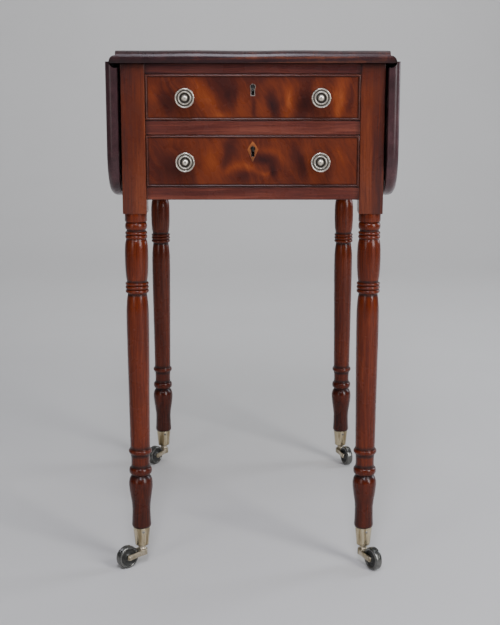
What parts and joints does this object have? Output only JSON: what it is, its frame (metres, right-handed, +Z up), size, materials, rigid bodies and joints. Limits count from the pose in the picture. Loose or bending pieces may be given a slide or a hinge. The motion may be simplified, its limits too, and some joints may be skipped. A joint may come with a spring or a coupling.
{
  "type": "vintage sewing table",
  "caption": "Drop-leaf mahogany work table with stacked drawers, ring-turned legs, turned brass knobs and swivelling brass castors.",
  "frame": {"origin": "middle of the bounding box, on the floor under the table", "axes": "+Z up from the floor, -Y out of the drawer fronts, +X to the right of someone facing the drawers"},
  "size_m": [0.3856, 0.5222, 0.717],
  "materials": {
    "mahogany": "French polished, straight grain",
    "top_mahogany": "dark French polish",
    "flame_veneer": "polished flame figure veneer",
    "secondary_wood": "unfinished, dry",
    "boxwood": "polished inlay",
    "pale_brass": "aged, rubbed bright on high spots",
    "aged_brass": "aged, dull",
    "steel": "worn dark metal"
  },
  "bodies": {
    "carcass": {"table_top": "top_mahogany", "leg_front_left": "mahogany", "leg_front_right": "mahogany", "leg_back_left": "mahogany", "leg_back_right": "mahogany", "side_panel_left": "mahogany", "side_panel_right": "mahogany", "back_panel": "mahogany", "top_rail": "mahogany", "middle_rail": "mahogany", "bottom_rail": "mahogany", "dust_board": "secondary_wood", "drawer_runner_left": "secondary_wood", "drawer_runner_right": "secondary_wood", "fly_rail_left": "mahogany", "fly_rail_right": "mahogany", "fly_bracket_left": "mahogany", "fly_bracket_right": "mahogany", "castor_cup_front_left": "aged_brass", "castor_cup_front_right": "aged_brass", "castor_cup_back_left": "aged_brass", "castor_cup_back_right": "aged_brass", "hinge_plate_left_front": "aged_brass", "hinge_plate_left_back": "aged_brass", "hinge_plate_right_front": "aged_brass", "hinge_plate_right_back": "aged_brass"},
    "leaf_left": {"leaf_left": "top_mahogany", "leaf_hinge_left_front": "aged_brass", "leaf_hinge_left_back": "aged_brass"},
    "leaf_right": {"leaf_right": "top_mahogany", "leaf_hinge_right_front": "aged_brass", "leaf_hinge_right_back": "aged_brass"},
    "upper_drawer": {"upper_drawer_front": "flame_veneer", "upper_drawer_side_left": "secondary_wood", "upper_drawer_side_right": "secondary_wood", "upper_drawer_back": "secondary_wood", "upper_drawer_bottom": "secondary_wood", "upper_lock_case": "aged_brass", "upper_escutcheon": "pale_brass", "upper_knob_left": "pale_brass", "upper_knob_right": "pale_brass"},
    "upper_lock_bolt": {"upper_lock_bolt": "steel"},
    "lower_drawer": {"lower_drawer_front": "flame_veneer", "lower_drawer_side_left": "secondary_wood", "lower_drawer_side_right": "secondary_wood", "lower_drawer_back": "secondary_wood", "lower_drawer_bottom": "secondary_wood", "lower_lock_case": "aged_brass", "lower_escutcheon": "boxwood", "lower_knob_left": "pale_brass", "lower_knob_right": "pale_brass"},
    "lower_lock_bolt": {"lower_lock_bolt": "steel"},
    "castor_fork_front_left": {"castor_fork_front_left": "pale_brass"},
    "castor_wheel_front_left": {"castor_wheel_front_left": "steel"},
    "castor_fork_front_right": {"castor_fork_front_right": "pale_brass"},
    "castor_wheel_front_right": {"castor_wheel_front_right": "steel"},
    "castor_fork_back_left": {"castor_fork_back_left": "pale_brass"},
    "castor_wheel_back_left": {"castor_wheel_back_left": "steel"},
    "castor_fork_back_right": {"castor_fork_back_right": "pale_brass"},
    "castor_wheel_back_right": {"castor_wheel_back_right": "steel"}
  },
  "joints": [
    {"name": "leaf_left_hinge", "type": "hinge", "parent": "carcass", "child": "leaf_left", "pos_m": [-0.179, 0.007, 0.7032], "axis": [0, 1, 0], "range_deg": [0, 90]},
    {"name": "leaf_right_hinge", "type": "hinge", "parent": "carcass", "child": "leaf_right", "pos_m": [0.179, 0.007, 0.7032], "axis": [0, -1, 0], "range_deg": [0, 90]},
    {"name": "upper_drawer_slide", "type": "slide", "parent": "carcass", "child": "upper_drawer", "axis": [0, -1, 0], "range_m": [0, 0.3]},
    {"name": "upper_lock_bolt_slide", "type": "slide", "parent": "upper_drawer", "child": "upper_lock_bolt", "axis": [0, 0, 1], "range_m": [0, 0.006]},
    {"name": "lower_drawer_slide", "type": "slide", "parent": "carcass", "child": "lower_drawer", "axis": [0, -1, 0], "range_m": [0, 0.3]},
    {"name": "lower_lock_bolt_slide", "type": "slide", "parent": "lower_drawer", "child": "lower_lock_bolt", "axis": [0, 0, 1], "range_m": [0, 0.006]},
    {"name": "castor_swivel_front_left", "type": "hinge", "parent": "carcass", "child": "castor_fork_front_left", "pos_m": [-0.1575, -0.223, 0.0287], "axis": [0, 0, 1], "continuous": true},
    {"name": "castor_spin_front_left", "type": "hinge", "parent": "castor_fork_front_left", "child": "castor_wheel_front_left", "pos_m": [-0.17708, -0.23886, 0.0161], "axis": [0.6293, -0.7771, 0], "continuous": true},
    {"name": "castor_swivel_front_right", "type": "hinge", "parent": "carcass", "child": "castor_fork_front_right", "pos_m": [0.1575, -0.223, 0.0287], "axis": [0, 0, 1], "continuous": true},
    {"name": "castor_spin_front_right", "type": "hinge", "parent": "castor_fork_front_right", "child": "castor_wheel_front_right", "pos_m": [0.16972, -0.24504, 0.0161], "axis": [0.8746, 0.4848, 0], "continuous": true},
    {"name": "castor_swivel_back_left", "type": "hinge", "parent": "carcass", "child": "castor_fork_back_left", "pos_m": [-0.1575, 0.237, 0.0287], "axis": [0, 0, 1], "continuous": true},
    {"name": "castor_spin_back_left", "type": "hinge", "parent": "castor_fork_back_left", "child": "castor_wheel_back_left", "pos_m": [-0.17195, 0.21636, 0.0161], "axis": [0.8192, -0.5736, 0], "continuous": true},
    {"name": "castor_swivel_back_right", "type": "hinge", "parent": "carcass", "child": "castor_fork_back_right", "pos_m": [0.1575, 0.237, 0.0287], "axis": [0, 0, 1], "continuous": true},
    {"name": "castor_spin_back_right", "type": "hinge", "parent": "castor_fork_back_right", "child": "castor_wheel_back_right", "pos_m": [0.16674, 0.21355, 0.0161], "axis": [0.9304, 0.3665, 0], "continuous": true}
  ]
}
